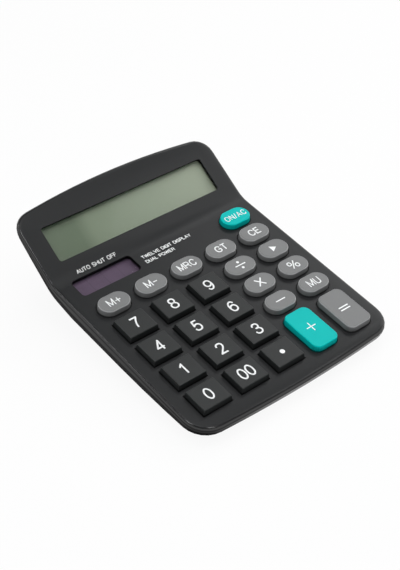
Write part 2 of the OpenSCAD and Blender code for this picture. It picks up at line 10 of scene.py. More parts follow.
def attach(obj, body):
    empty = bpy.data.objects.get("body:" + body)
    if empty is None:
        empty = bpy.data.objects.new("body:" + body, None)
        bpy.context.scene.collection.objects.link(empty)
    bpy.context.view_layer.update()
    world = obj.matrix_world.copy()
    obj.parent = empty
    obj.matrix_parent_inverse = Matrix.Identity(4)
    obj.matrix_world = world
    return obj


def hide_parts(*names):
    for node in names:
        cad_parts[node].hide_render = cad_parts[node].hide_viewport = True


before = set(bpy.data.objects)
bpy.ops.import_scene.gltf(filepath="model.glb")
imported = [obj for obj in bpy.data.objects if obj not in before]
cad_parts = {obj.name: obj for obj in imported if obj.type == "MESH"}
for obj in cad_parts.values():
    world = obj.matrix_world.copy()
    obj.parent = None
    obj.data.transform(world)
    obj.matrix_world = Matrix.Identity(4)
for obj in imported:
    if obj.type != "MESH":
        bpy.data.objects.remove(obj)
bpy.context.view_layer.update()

MM = 0.001

# ---- the bent casing, in millimetres and degrees ----

KEYPAD_TILT = 7.7
DISPLAY_TILT = 26.5  # on top of the keypad's
KEYPAD_BACK = -56.42  # start of the keypad plane, from the middle of the casing
KEYPAD_UP = 11.8
CREASE = 94.0  # where the two decks would meet, along the keypad
CREASE_R = 16.0
KEY_TOP = 3.1  # over the keypad deck
KEY_SLOPE = 0.5  # width of the sloping edge round an oval or tall key's top
CRISP_SLOPE = 0.28  # and what it is narrowed to
LCD_WIDE = 97.3
SOLAR_X = -33.5
SOLAR_WIDE = 34.0
SOLAR_STRIPS = 4

KEYPAD = (
    Matrix.Translation(Vector((0, KEYPAD_BACK, KEYPAD_UP)) * MM)
    @ Matrix.Rotation(math.radians(KEYPAD_TILT), 4, "X")
)
DISPLAY = (
    KEYPAD
    @ Matrix.Translation(Vector((0, CREASE, 0)) * MM)
    @ Matrix.Rotation(math.radians(DISPLAY_TILT), 4, "X")
)

# ---- keys and what is printed on them ----

SQUARE_KEYS = {
    "key_0": "0",
    "key_00": "00",
    "key_point": "point",
    **{f"key_{digit}": str(digit) for digit in range(1, 10)},
}
OVAL_KEYS = {
    "key_minus": "minus",
    "key_multiply": "multiply",
    "key_divide": "divide",
    "key_mark_up": "MU",
    "key_percent": "%",
    "key_backspace": "arrow",
    "key_memory_add": "M+",
    "key_memory_subtract": "M-",
    "key_memory_recall": "MRC",
    "key_grand_total": "GT",
    "key_clear_entry": "CE",
    "key_on_clear": "ON/AC",
}
TALL_KEYS = {"key_plus": "plus", "key_equals": "equals"}


# ---- how materials are written ----


class Wire:
    """A shader socket that takes part in sums and comparisons."""

    def __init__(self, nodes, socket):
        self.nodes = nodes
        self.socket = socket

    def _math(self, operation, *values):
        return self.nodes.add("ShaderNodeMath", {"operation": operation}, dict(enumerate(values)))

    def __add__(self, other):
        return self._math("ADD", self, other)

    def __radd__(self, other):
        return self._math("ADD", other, self)

    def __sub__(self, other):
        return self._math("SUBTRACT", self, other)

    def __rsub__(self, other):
        return self._math("SUBTRACT", other, self)

    def __mul__(self, other):
        return self._math("MULTIPLY", self, other)

    def __rmul__(self, other):
        return self._math("MULTIPLY", other, self)

    def __gt__(self, other):
        return self._math("GREATER_THAN", self, other)

    def absolute(self):
        return self._math("ABSOLUTE", self)

    def lesser(self, other):
        return self._math("MINIMUM", self, other)

    def greater(self, other):
        return self._math("MAXIMUM", self, other)

    def modulo(self, step):
        return self._math("FLOORED_MODULO", self, step)

    def ramp(self, low, high):
        """0 up to low, 1 from high on, and even in between."""
        limits = {"Value": self, "From Min": low, "From Max": high}
        return self.nodes.add("ShaderNodeMapRange", {"clamp": True}, limits)

    def ramp_mm(self, low, high):
        return self.ramp(low * MM, high * MM)


# Sockets of the Mix node when it mixes colours.
MIX_SHARE, MIX_FIRST, MIX_SECOND, MIX_RESULT = 0, 6, 7, 2


class Nodes:
    """A node tree, built node by node."""

    def __init__(self, tree):
        self.tree = tree

    def put(self, node, socket, value):
        """Fills a socket with a link or a value. A colour is three numbers."""
        target = node.inputs[socket]
        if isinstance(value, Wire):
            self.tree.links.new(value.socket, target)
        elif target.type == "RGBA":
            target.default_value = (*value, 1)
        else:
            target.default_value = value

    def add(self, kind, settings=None, inputs=None, out=0):
        """A node of this type, with its settings made before its sockets are filled."""
        node = self.tree.nodes.new(kind)
        for name, value in (settings or {}).items():
            if name == "stops":
                set_stops(node.color_ramp, value)
            else:
                setattr(node, name, value)
        for socket, value in (inputs or {}).items():
            self.put(node, socket, value)
        return Wire(self, node.outputs[out])

    def outputs(self, kind, inputs=None):
        """Every output of a new node, by name."""
        node = self.add(kind, inputs=inputs).socket.node
        return {socket.name: Wire(self, socket) for socket in node.outputs}

    def mix_shaders(self, share, first, second):
        return self.add("ShaderNodeMixShader", inputs={0: share, 1: first, 2: second})


class Finish(Nodes):
    """One material under construction, with a Principled shader at its end."""

    def __init__(self, name, colour, roughness, **sockets):
        self.material = bpy.data.materials.new(name)
        self.material.use_nodes = True
        super().__init__(self.material.node_tree)
        self.shader = self.tree.nodes["Principled BSDF"]
        self.dress(Base_Color=colour, Roughness=roughness, **sockets)

    def dress(self, **sockets):
        """Fills sockets of the shader, with _ for each space in a name."""
        for socket, value in sockets.items():
            self.put(self.shader, socket.replace("_", " "), value)

    def place(self):
        return self.add("ShaderNodeTexCoord", out="Object")

    def axes(self):
        return self.outputs("ShaderNodeSeparateXYZ", {0: self.place()}).values()

    def noise(self, size_mm, detail=2):
        """Noise whose grains are about size_mm across."""
        return self.add(
            "ShaderNodeTexNoise",
            inputs={
                "Vector": self.place(),
                "Scale": 1000 / size_mm,
                "Detail": detail,
                "Roughness": 0.55,
            },
        )

    def blend(self, share, first, second):
        return self.add(
            "ShaderNodeMix",
            {"data_type": "RGBA"},
            {MIX_SHARE: share, MIX_FIRST: first, MIX_SECOND: second},
            out=MIX_RESULT,
        )

    def clouded(self, colour, size_mm=14, spread=0.06):
        """The colour, a touch darker here and lighter there."""
        return self.blend(self.noise(size_mm), shade(colour, 1 - spread), shade(colour, 1 + spread))

    def roughen(self, texture, roughness, spread=0.04):
        """Lets the roughness follow a texture, by spread either way."""
        self.dress(Roughness=texture * (2 * spread) + (roughness - spread))

    def relief(self, height, depth_mm):
        bump = self.add("ShaderNodeBump", inputs={"Height": height, "Distance": depth_mm * MM})
        self.dress(Normal=bump)


def set_stops(ramp, stops):
    while len(ramp.elements) < len(stops):
        ramp.elements.new(0.5)
    for element, (position, colour) in zip(ramp.elements, stops):
        element.position = position
        element.color = (*colour, 1)


def srgb(red, green, blue):
    """Screen values 0-255 as the linear colour that a shader takes."""
    return tuple(
        c / 12.92 if c <= 0.04045 else ((c + 0.055) / 1.055) ** 2.4
        for c in (red / 255, green / 255, blue / 255)
    )


def shade(colour, factor):
    return tuple(c * factor for c in colour)


# ---- finishes ----

GRAIN = 0.35  # size of the moulds' spark-eroded grain, in millimetres
GRAIN_DEPTH = 0.004
KEY_GRAIN_DEPTH = 0.002
FOOT_GRAIN_DEPTH = 0.01
POLISH = 0.9  # share of the grain that is missing round the casing's rim
SOLAR_GAP = 0.24  # between the strips of the solar cell, in millimetres

# Heights over the keypad deck, in millimetres, between which a key's painted highlight round its
# top edge and its painted shade at the foot come and go.
EDGE_STARTS = (KEY_TOP - 0.6, KEY_TOP - 0.4)
EDGE_ENDS = (KEY_TOP - 0.08, KEY_TOP - 0.02)
FOOT_ENDS = (0.1, 0.6)
# How dark the painted shade at a key's foot is, as a share of its colour.
PAINTED_FOOT_SHADE = 0.12

# The same for the casing, over both decks.
RIM_STARTS = (-0.5, -0.1)
WALL_STARTS = (-1.7, -1.1)
STAND_STARTS = (-12, -9)
# How dark the painted shade round the rim and down the walls is, and the painted shadow line along
# the parting, as shares of the colour.
PAINTED_RIM_SHADE = 0.15
PARTING_SHADOW_TONE = 0.03

# Other places on the casing, in millimetres.
RIM_X = 52  # the rim lies farther than this from the middle at the sides
RIM_Y = 66  # and farther than this at the ends
FRONT_ENDS = (-68, -60)  # y over which the front wall's gloss goes out
GLOSS_STARTS = (-52, -10)  # x over which it comes in
PARTING_SHADOW_ENDS = (0.18, 0.36)  # distance from the parting at which the painted shadow line along it goes out
GLOSS_ENDS = (0.6, 1.0)  # height over the parting at which the wall's gloss goes out

# How far below the decks the two cases part, in centimetres, against the share of the way
# from PARTING_END in front of the middle to as far behind it.
PARTING_END = 80
PARTING = [
    (0.086, 0.28),
    (0.154, 0.3),
    (0.203, 0.33),
    (0.303, 0.38),
    (0.401, 0.43),
    (0.494, 0.45),
    (0.637, 0.44),
    (0.693, 0.36),
    (0.753, 0.27),
    (0.831, 0.25),
]


def moulded(name, colour, roughness, relief_mm=GRAIN_DEPTH):
    """Moulded plastic: an even colour with a faint cloud and a fine spark-eroded grain."""
    finish = Finish(name, colour, roughness)
    grain = finish.noise(GRAIN)
    finish.dress(Base_Color=finish.clouded(colour))
    finish.roughen(grain, roughness)
    finish.relief(grain, relief_mm)
    return finish.material


def above_deck(finish, tilt, start):
    """Height over a deck that leans by tilt and passes through start."""
    _, y, z = finish.axes()
    lean, rise = math.sin(math.radians(tilt)), math.cos(math.radians(tilt))
    return z * rise - y * lean + (start.y * lean - start.z * rise)


def key_plastic(name, colour, roughness, edge, specular):
    """Key plastic: a painted highlight, lighter by edge, along its top edge, and painted shade at
    its foot in the gap.
    """
    finish = Finish(name, colour, roughness, Specular_IOR_Level=specular)
    height = above_deck(finish, KEYPAD_TILT, KEYPAD.translation)
    # Painted highlight: the band round the top edge is made lighter by edge.
    slope = height.ramp_mm(*EDGE_STARTS) * (1 - height.ramp_mm(*EDGE_ENDS))
    # Painted shade: the key darkens towards its foot, down in the gap.
    foot = 1 - height.ramp_mm(*FOOT_ENDS)
    painted_highlight = finish.blend(slope, finish.clouded(colour), shade(colour, edge))
    grain = finish.noise(GRAIN)
    finish.dress(Base_Color=finish.blend(foot, painted_highlight, shade(colour, PAINTED_FOOT_SHADE)))
    finish.roughen(grain, roughness)
    finish.relief(grain, KEY_GRAIN_DEPTH)
    return finish.material


def over_parting(finish, height, y):
    """Height over the line in which the two cases part, from the height over the decks."""
    stops = [(share, (drop, drop, drop)) for share, drop in PARTING]
    along = y.ramp_mm(-PARTING_END, PARTING_END)
    drop = finish.add("ShaderNodeValToRGB", {"stops": stops}, {0: along})
    return height + drop * (10 * MM)


def case_plastic(name, colour, roughness, specular, rim_shine, wall_shine):
    """Casing plastic: grained on the decks, polished round the rim and down the walls, with painted
    shade darkening the rim and walls near the decks and a painted shadow line along the parting.
    """
    finish = Finish(
        name, colour, roughness, Specular_IOR_Level=specular, Coat_Roughness=0.15, Coat_IOR=2.6
    )
    x, y, _ = finish.axes()
    height = above_deck(finish, KEYPAD_TILT, KEYPAD.translation)
    height = height.lesser(above_deck(finish, KEYPAD_TILT + DISPLAY_TILT, DISPLAY.translation))
    over_seam = over_parting(finish, height, y)

    rim = 1 - height.ramp_mm(*RIM_STARTS)
    wall = 1 - height.ramp_mm(*WALL_STARTS)
    near = height.ramp_mm(*STAND_STARTS)
    front = (1 - y.ramp_mm(*FRONT_ENDS)) * x.ramp_mm(*GLOSS_STARTS)
    outside = (x.absolute() > RIM_X * MM).greater(y.absolute() > RIM_Y * MM) * near
    # Painted shadow: a dark line along the parting between the two cases, with the coat left off
    # there too.
    parting_shadow = (1 - over_seam.absolute().ramp_mm(*PARTING_SHADOW_ENDS)) * outside

    lit_wall = wall * (1 - over_seam.ramp_mm(*GLOSS_ENDS))
    shine = rim * (1 - wall) * rim_shine + lit_wall * (front * (1 - wall_shine) + wall_shine)
    # Painted shade: round the rim and down the walls, near the decks, the colour is darkened to a
    # small share of itself.
    body = finish.blend(rim * near, finish.clouded(colour), shade(colour, PAINTED_RIM_SHADE))
    grain = finish.noise(GRAIN)
    finish.dress(
        Base_Color=finish.blend(parting_shadow, body, shade(colour, PARTING_SHADOW_TONE)),
        Coat_Weight=shine * outside * (1 - parting_shadow),
    )
    finish.roughen(grain, roughness)
    finish.relief(grain * (1 - rim * POLISH), GRAIN_DEPTH)
    return finish.material


def plain(name, colour, roughness):
    finish = Finish(name, colour, roughness)
    finish.dress(Base_Color=finish.clouded(colour, 3, 0.05))
    return finish.material


def liquid_crystal():
    """Grey-green display field with a painted reflection: darker and greener over its left quarter,
    paler to the right.
    """
    finish = Finish("lcd_field", srgb(144, 157, 135), 0.45, Specular_IOR_Level=0.3)
    stops = [
        (0.0, srgb(99, 114, 92)),
        (0.18, srgb(103, 118, 96)),
        (0.26, srgb(129, 143, 120)),
        (0.6, srgb(144, 157, 135)),
        (1.0, srgb(161, 171, 150)),
    ]
    x, _, _ = finish.axes()
    along = x * (1 / (LCD_WIDE * MM)) + 0.5 + (finish.noise(25) - 0.5) * 0.03
    finish.dress(Base_Color=finish.add("ShaderNodeValToRGB", {"stops": stops}, {0: along}))
    return finish.material


def solar_film():
    """Purple-grey amorphous cell with the thin gaps between its strips."""
    finish = Finish("solar_film", srgb(92, 76, 96), 0.5, Specular_IOR_Level=0.2)
    x, _, _ = finish.axes()
    strip = SOLAR_WIDE / SOLAR_STRIPS * MM
    left = (SOLAR_X - SOLAR_WIDE / 2) * MM
    gap = ((x - left).modulo(strip) - strip / 2).absolute() > (strip - SOLAR_GAP * MM) / 2
    body = finish.blend(finish.noise(6, 3), srgb(87, 72, 91), srgb(97, 81, 101))
    finish.dress(Base_Color=finish.blend(gap, body, srgb(79, 66, 83)))
    return finish.material


def board_lacquer():
    finish = Finish("board_lacquer", srgb(150, 128, 70), 0.35)
    weave = finish.blend(finish.noise(0.8), srgb(140, 118, 62), srgb(160, 138, 80))
    finish.dress(Base_Color=weave)
    return finish.material


def clear_pane():
    """Thin acrylic window: see-through, with a polished face."""
    finish = Finish("clear_pane", (0.03, 0.032, 0.03), 0.06, IOR=1.49)
    finish.dress(Alpha=finish.noise(30) * 0.02 + 0.04)
    return finish.material


def metal(name, colour, roughness):
    finish = Finish(name, colour, roughness, Metallic=1.0)
    finish.roughen(finish.noise(0.5, 3), roughness, 0.06)
    return finish.material


CASE_FINISH = case_plastic(
    "case_plastic", srgb(34, 35, 36), 0.34, specular=0.16, rim_shine=0.24, wall_shine=0.04
)
BASE_FINISH = case_plastic(
    "base_plastic", srgb(34, 34, 35), 0.42, specular=0.04, rim_shine=0, wall_shine=0
)
# edge sets how much lighter the painted highlight along each key's top edge is.
DIGIT_FINISH = key_plastic("digit_key_plastic", srgb(37, 39, 39), 0.42, edge=1.7, specular=0.24)
GREY_FINISH = key_plastic("grey_key_plastic", srgb(120, 121, 121), 0.4, edge=2.0, specular=0.3)
TEAL_FINISH = key_plastic("teal_key_plastic", srgb(0, 188, 183), 0.42, edge=1.35, specular=0.1)
INK_FINISH = plain("white_ink", srgb(246, 248, 248), 0.5)
PANE_FINISH = clear_pane()
STEEL_FINISH = metal("screw_steel", srgb(176, 177, 180), 0.35)
CONTACT_FINISH = metal("contact_nickel", srgb(208, 208, 204), 0.25)

NODE_FINISHES = {
    "upper_case": CASE_FINISH,
    "lower_case": BASE_FINISH,
    "battery_door": CASE_FINISH,
    "display_window": PANE_FINISH,
    "solar_window": PANE_FINISH,
    "lcd_glass": liquid_crystal(),
    "lcd_reflector": metal("reflector_foil", srgb(205, 207, 205), 0.4),
    "lcd_holder": moulded("black_plastic", srgb(28, 28, 29), 0.5),
    "display_ribbon": plain("ribbon_film", srgb(190, 130, 60), 0.4),
    "solar_cell": solar_film(),
    "circuit_board": board_lacquer(),
    "rubber_sheet": moulded("silicone", srgb(62, 62, 64), 0.6),
    "controller_chip": plain("chip_resin", srgb(16, 16, 17), 0.25),
    "capacitor": plain("capacitor_sleeve", srgb(40, 52, 84), 0.35),
    "pcb_screws": STEEL_FINISH,
    "case_screws": STEEL_FINISH,
    "battery_cell": plain("battery_wrap", srgb(190, 140, 60), 0.3),
    "battery_spring": CONTACT_FINISH,
    "battery_plate": CONTACT_FINISH,
    "rubber_feet": moulded("foot_rubber", srgb(45, 45, 46), 0.75, relief_mm=FOOT_GRAIN_DEPTH),
    "battery_lead_red": plain("lead_red", srgb(180, 45, 38), 0.45),
    "battery_lead_black": plain("lead_black", srgb(24, 24, 24), 0.45),
    "solar_leads": plain("solar_lead_red", srgb(180, 45, 38), 0.45),
    **dict.fromkeys(SQUARE_KEYS, DIGIT_FINISH),
    **dict.fromkeys(OVAL_KEYS, GREY_FINISH),
    "key_on_clear": TEAL_FINISH,
    "key_plus": TEAL_FINISH,
    "key_equals": GREY_FINISH,
}


def paint(piece, finish):
    piece.data.materials.clear()
    piece.data.materials.append(finish)


for node, finish in NODE_FINISHES.items():
    paint(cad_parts[node], finish)


# ---- pieces ----

WELD = 1e-6  # corners nearer than this are one, in metres
CLOSE = 0.01  # heights nearer than this are the same, in millimetres
FLAT_ANGLE = 0.6  # triangles that meet at less than this become one face, in degrees
SHARP_ANGLE = 32  # edges that turn less than this are shaded smoothly, in degrees
KEY_EDGE = 0.18  # how much is broken off the keys' edges, in millimetres
PANE_GAP = 0.06  # between a window and the panel under it, in millimetres


def body_of(node):
    if node.startswith("key_"):
        return node + "_cap"
    return "door" if node == "battery_door" else "casing"


def new_piece(name, mesh_data, finish, body):
    piece = bpy.data.objects.new(name, mesh_data)
    bpy.context.scene.collection.objects.link(piece)
    paint(piece, finish)
    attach(piece, body)
    return piece


def mesh_of(shape, name):
    mesh_data = bpy.data.meshes.new(name)
    shape.to_mesh(mesh_data)
    shape.free()
    return mesh_data


def merged_copy(node):
    """A CAD node's shape, with the loose corners of its triangles merged."""
    shape = bmesh.new()
    shape.from_mesh(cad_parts[node].data)
    bmesh.ops.remove_doubles(shape, verts=shape.verts, dist=WELD)
    return shape


def stand_in(node, shape):
    """A piece of this shape that takes a CAD node's place."""
    name = node + "_finished"
    piece = new_piece(name, mesh_of(shape, name), NODE_FINISHES[node], body_of(node))
    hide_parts(node)
    return piece


def crisp_top(shape):
    """Narrows the slope round the top of a key from KEY_SLOPE to CRISP_SLOPE."""
    back = KEYPAD.inverted()
    top, foot = [], []
    for vert in shape.verts:
        below = KEY_TOP * MM - (back @ vert.co).z
        if abs(below) < CLOSE * MM:
            top.append(vert)
        elif abs(below - KEY_SLOPE * MM) < CLOSE * MM:
            foot.append(vert)
    for vert in top:
        here = back @ vert.co
        near = min((back @ other.co for other in foot), key=lambda spot: (spot.xy - here.xy).length)
        outward = Vector((near.x, near.y, here.z))
        vert.co = KEYPAD @ here.lerp(outward, 1 - CRISP_SLOPE / KEY_SLOPE)
    rise = KEYPAD.to_3x3() @ Vector((0, 0, (KEY_SLOPE - CRISP_SLOPE) * MM))
    for vert in foot:
        vert.co += rise


def softened(node, broken_mm):
    """The same shape as a CAD node, shaded smoothly and with its sharp edges just broken."""
    shape = merged_copy(node)
    bmesh.ops.dissolve_limit(
        shape,
        angle_limit=math.radians(FLAT_ANGLE),
        verts=shape.verts,
        edges=shape.edges,
        delimit={"NORMAL"},
    )
    if node in OVAL_KEYS or node in TALL_KEYS:
        crisp_top(shape)
    piece = stand_in(node, shape)
    piece.data.shade_smooth()
    piece.data.set_sharp_from_angle(angle=math.radians(SHARP_ANGLE))
    if broken_mm:
        edge = piece.modifiers.new("broken_edges", "BEVEL")
        edge.width = broken_mm * MM
        edge.segments = 2
        edge.limit_method = "ANGLE"
        edge.angle_limit = math.radians(SHARP_ANGLE)
        edge.harden_normals = True


def lifted_pane(node, deck):
    """A window whose back stands a hair off the panel under it, so that light passes cleanly."""
    shape = merged_copy(node)
    back = deck.inverted()
    lowest = min((back @ vert.co).z for vert in shape.verts)
    rise = deck.to_3x3() @ Vector((0, 0, PANE_GAP * MM))
    for vert in shape.verts:
        if (back @ vert.co).z < lowest + CLOSE * MM:
            vert.co += rise
    stand_in(node, shape)


for key in (*SQUARE_KEYS, *OVAL_KEYS, *TALL_KEYS):
    softened(key, KEY_EDGE)
softened("upper_case", 0)
softened("lower_case", 0)
lifted_pane("display_window", DISPLAY)
lifted_pane("solar_window", KEYPAD)


# ---- printing ----

INK = 0.04  # thickness of the print, in millimetres
ROUND_END = 0.45  # radius of a bar's corners, as a share of its thickness

# Strokes of the printed characters: the width, then points in hundredths of the height.
# A point marked ! is a corner, and a stroke that starts with o is a closed loop.
CHARACTERS = {
    "0": (57, "o 28,100 50,83 57,50 50,17 28,0 7,17 0,50 7,83"),
    "1": (40, "3,74! 30,100! 30,0!"),
    "2": (62, "3,73 12,93 32,100 54,92 60,72 50,50 22,22 1,0! 63,0!"),
    "3": (62, "3,78 13,95 31,100 51,93 57,76 48,59 26,54! 50,49 62,29 52,7 31,0 9,6 0,25"),
    "4": (66, "48,0! 48,100! 0,27! 66,27!"),
    "5": (62, "57,100! 14,100! 6,50! 30,64 53,56 62,33 52,8 30,0 9,6 0,24"),
    "6": (62, "58,80 49,95 33,100 12,87 1,55 4,22 15,4 33,0 54,9 62,31 54,54 33,63 13,54 2,40"),
    "7": (62, "0,100! 62,100! 38,62 25,30 20,0!"),
    "8": (
        62,
        "o 31,100 51,92 56,77 50,61 31,54 12,61 6,77 11,92",
        "o 31,54 53,45 62,27 53,7 31,0 9,7 0,27 9,45",
    ),
    "9": (62, "4,20 13,5 29,0 50,13 61,45 58,78 47,96 29,100 8,91 0,69 8,46 29,37 49,46 60,60"),
    "A": (78, "0,0! 39,100! 78,0!", "14,34! 64,34!"),
    "C": (75, "74,72 62,93 38,100 11,86 0,50 11,14 38,0 62,7 75,30"),
    "D": (74, "0,0! 0,100! 34,100! 64,86 74,50 64,14 34,0! 0,0!"),
    "E": (66, "64,100! 0,100! 0,0! 66,0!", "0,53! 58,53!"),
    "F": (62, "62,100! 0,100! 0,0!", "0,53! 54,53!"),
    "G": (76, "74,74 62,93 38,100 11,86 0,50 11,14 40,0 60,4 76,18! 76,47! 42,47!"),
    "H": (72, "0,0! 0,100!", "72,0! 72,100!", "0,50! 72,50!"),
    "I": (0, "0,0! 0,100!"),
    "L": (58, "0,100! 0,0! 58,0!"),
    "M": (84, "0,0! 0,100! 42,8! 84,100! 84,0!"),
    "N": (70, "0,0! 0,100! 70,0! 70,100!"),
    "O": (80, "o 40,100 69,86 80,50 69,14 40,0 11,14 0,50 11,86"),
    "P": (68, "0,0! 0,100! 42,100! 64,91 68,73 64,55 42,46! 0,46!"),
    "R": (74, "0,0! 0,100! 42,100! 64,92 69,74 64,56 42,48! 0,48!", "38,48! 55,38 74,0!"),
    "S": (68, "65,76 53,95 33,100 12,93 5,75 15,58 36,51 58,42 68,25 57,6 35,0 10,7 0,26"),
    "T": (72, "0,100! 72,100!", "36,100! 36,0!"),
    "U": (66, "0,100! 0,36! 7,9 33,0 59,9 66,36! 66,100!"),
    "V": (76, "0,100! 38,0! 76,100!"),
    "W": (108, "0,100! 26,2! 54,98! 82,2! 108,100!"),
    "Y": (74, "0,100! 37,46! 74,100!", "37,46! 37,0!"),
    "/": (34, "0,-4! 34,104!"),
    "+": (74, "0,47! 74,47!", "37,10! 37,84!"),
    "-": (58, "0,45! 58,45!"),
    "%": (
        124,
        "o 23,100 40,92 46,75 40,58 23,50 6,58 0,75 6,92",
        "o 101,50 118,42 124,25 118,8 101,0 84,8 78,25 84,42",
        "26,-4! 98,104!",
    ),
    " ": (34,),
}

# Signs round the middle of a key. A bar has a length, a thickness, a height over the middle
# and a turn in degrees, and a dot has a radius and a height over the middle.
SIGNS = {
    "plus": {"bars": [(5.4, 0.52, 0, 0), (0.52, 5.4, 0, 0)]},
    "minus": {"bars": [(5.7, 0.6, 0, 0)]},
    "multiply": {"bars": [(6.2, 0.66, 0, 50), (6.2, 0.66, 0, -50)]},
    "divide": {"bars": [(6.2, 0.62, 0, 0)], "dots": [(0.72, 2.1), (0.72, -2.1)]},
    "equals": {"bars": [(5.9, 0.68, 0.85, 0), (5.9, 0.68, -0.85, 0)]},
    "point": {"dots": [(1.25, 0)]},
    "arrow": {"arrows": [(3.2, 2.0)]},
}

# Height, line and sideways stretch of the characters on the keys, and the gaps between them
# as a share of the height.
DIGIT_SIZE, DIGIT_GAP = (6.8, 0.92, 0.95), 0.2
LEGEND_SIZE, LEGEND_GAP = (4.5, 0.74, 0.96), 0.28
LEGEND_SIZES = {
    "%": (5.2, 0.68, 0.97),
    "MRC": (4.5, 0.66, 0.86),
    "M+": (4.7, 0.62, 0.88),
    "M-": (4.7, 0.62, 0.92),
    "MU": (4.8, 0.64, 0.9),
    "ON/AC": (3.6, 0.5, 0.9),
}


def round_line(name, line_mm):
    """An empty curve that draws a round line."""
    curve = bpy.data.curves.new(name, "CURVE")
    curve.dimensions = "3D"
    curve.bevel_depth = line_mm / 2 * MM
    curve.bevel_resolution = 1
    curve.use_fill_caps = True
    curve.resolution_u = 5
    return curve


def lay_stroke(curve, stroke, left, high):
    """Adds one stroke to the curve, cut at its corners, and returns where those are."""
    points, corners = [], []
    for mark in stroke.removeprefix("o ").split():
        x, y = (float(part) / 100 for part in mark.rstrip("!").split(","))
        place = Vector(((left + x * high) * MM, (y - 0.5) * high * MM, 0))
        points.append((place, mark.endswith("!")))
    runs, closed = [[points[0]]], stroke.startswith("o ")
    for number, point in enumerate(points[1:], 2):
        runs[-1].append(point)
        if point[1] and number < len(points):
            corners.append(point[0])
            runs.append([point])
    for run in runs:
        spline = curve.splines.new("BEZIER")
        spline.use_cyclic_u = closed
        spline.bezier_points.add(len(run) - 1)
        for knot, (place, corner) in zip(spline.bezier_points, run):
            knot.co = place
            knot.handle_left_type = knot.handle_right_type = "VECTOR" if corner else "AUTO"
    return corners


def lay_words(curve, words, high, gap):
    """Adds the words to the curve, and returns their corners and how long they are."""
    left, corners = 0, []
    for character in words:
        width, *strokes = CHARACTERS[character]
        for stroke in strokes:
            corners += lay_stroke(curve, stroke, left, high)
        left += high * (width / 100 + gap)
    return corners, left - high * gap


def curve_mesh(curve):
    line = bpy.data.objects.new(curve.name, curve)
    bpy.context.scene.collection.objects.link(line)
    bpy.context.view_layer.update()
    drawn = line.evaluated_get(bpy.context.evaluated_depsgraph_get())
    mesh_data = bpy.data.meshes.new_from_object(drawn)
    bpy.data.objects.remove(line)
    return mesh_data


def printed(name, words, high, line_mm, body, place, gap=0.26, stretch=1.0, centred=True):
    """Printed characters, high tall to the outside of their lines. place sets a point in space."""
    curve = round_line(name + "_line", line_mm)
    corners, long = lay_words(curve, words, high - line_mm, gap)
    mesh_data = curve_mesh(curve)
    shape = bmesh.new()
    shape.from_mesh(mesh_data)
    for corner in corners:
        bmesh.ops.create_uvsphere(
            shape,
            u_segments=12,
            v_segments=6,
            radius=line_mm / 2 * MM,
            matrix=Matrix.Translation(corner),
        )
    start = -long / 2 * MM if centred else 0
    bmesh.ops.translate(shape, verts=shape.verts, vec=(start, 0, 0))
    bmesh.ops.scale(shape, verts=shape.verts, vec=(stretch, 1, INK / line_mm))
    bmesh.ops.translate(shape, verts=shape.verts, vec=(0, 0, INK / 2 * MM))
    for vert in shape.verts:
        vert.co = place(vert.co)
    shape.to_mesh(mesh_data)
    shape.free()
    mesh_data.shade_smooth()
    new_piece(name, mesh_data, INK_FINISH, body)


def ink_bar(shape, long, thick, high, turn):
    """A printed bar with round ends."""
    middle = Matrix.Translation(Vector((0, high, 0)) * MM)
    size = Matrix.Diagonal((long * MM, thick * MM, INK * MM, 1))
    matrix = middle @ Matrix.Rotation(math.radians(turn), 4, "Z") @ size
    made = bmesh.ops.create_cube(shape, size=1, matrix=matrix)
    upright = [
        edge
        for edge in {edge for vert in made["verts"] for edge in vert.link_edges}
        if abs(edge.verts[0].co.z - edge.verts[1].co.z) > INK * MM / 2
    ]
    bmesh.ops.bevel(
        shape,
        geom=upright,
        offset=min(long, thick) * ROUND_END * MM,
        segments=4,
        profile=0.5,
        affect="EDGES",
        offset_type="OFFSET",
        material=-1,
    )


def ink_dot(shape, radius, high):
    bmesh.ops.create_cone(
        shape,
        cap_ends=True,
        segments=32,
        radius1=radius * MM,
        radius2=radius * MM,
        depth=INK * MM,
        matrix=Matrix.Translation(Vector((0, high, 0)) * MM),
    )


def ink_arrow(shape, long, half):
    """A solid arrow head that points right: a triangle of radius 1, stretched to size."""
    made = bmesh.ops.create_cone(
        shape, cap_ends=True, segments=3, radius1=1, radius2=1, depth=INK * MM
    )
    for vert in made["verts"]:
        tip = vert.co.y > 0.9
        x = long / 2 if tip else -long / 2
        y = 0 if tip else math.copysign(half, vert.co.x)
        vert.co.x, vert.co.y = x * MM, y * MM


def inked_sign(name, sign, body, place):
    drawers = {"bars": ink_bar, "dots": ink_dot, "arrows": ink_arrow}
    shape = bmesh.new()
    for kind, marks in SIGNS[sign].items():
        for mark in marks:
            drawers[kind](shape, *mark)
    bmesh.ops.recalc_face_normals(shape, faces=shape.faces)
    bmesh.ops.transform(shape, matrix=place, verts=shape.verts)
    new_piece(name, mesh_of(shape, name), INK_FINISH, body)


def on_key_top(key):
    """The middle of a key's top, where its legend is printed."""
    back = KEYPAD.inverted()
    spots = [back @ vert.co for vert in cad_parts[key].data.vertices]
    across, along, _ = ((min(axis) + max(axis)) / 2 for axis in zip(*spots))
    return KEYPAD @ Matrix.Translation((across, along, KEY_TOP * MM))


def print_legend(key, legend, high, line_mm, stretch, gap):
    name, body, place = key.replace("key_", "legend_"), body_of(key), on_key_top(key)
    if legend in SIGNS:
        inked_sign(name, legend, body, place)
    else:
        printed(name, legend, high, line_mm, body, place.__matmul__, gap, stretch)


